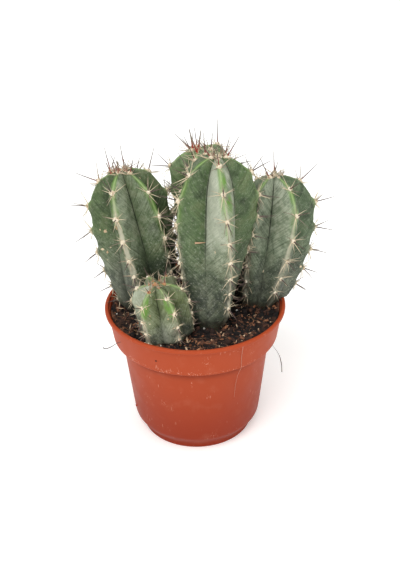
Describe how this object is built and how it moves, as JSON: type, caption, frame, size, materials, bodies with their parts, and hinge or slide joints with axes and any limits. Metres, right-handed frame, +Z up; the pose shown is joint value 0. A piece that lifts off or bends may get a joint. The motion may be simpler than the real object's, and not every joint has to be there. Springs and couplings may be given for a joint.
{
  "type": "potted column cactus",
  "caption": "Clump of upright, deeply ribbed, spiny cactus stems and a small pup, rooted in soil in a round tapered plastic nursery pot with a collar and rolled lip.",
  "frame": {"origin": "centre of the pot's flat underside", "axes": "+Z up along the pot's axis, -Y towards the front, where the pup stands, +X to the right seen from the front"},
  "size_m": [0.1747, 0.1253, 0.2128],
  "materials": {
    "pot": "satin",
    "soil": "matt",
    "stem_left": "satin",
    "stem_centre": "satin",
    "stem_right": "satin",
    "stem_back": "satin",
    "stem_front_pup": "satin"
  },
  "bodies": {
    "root": {"pot": "pot", "soil": "soil", "stem_left": "stem_left", "stem_centre": "stem_centre", "stem_right": "stem_right", "stem_back": "stem_back", "stem_front_pup": "stem_front_pup"}
  },
  "joints": []
}
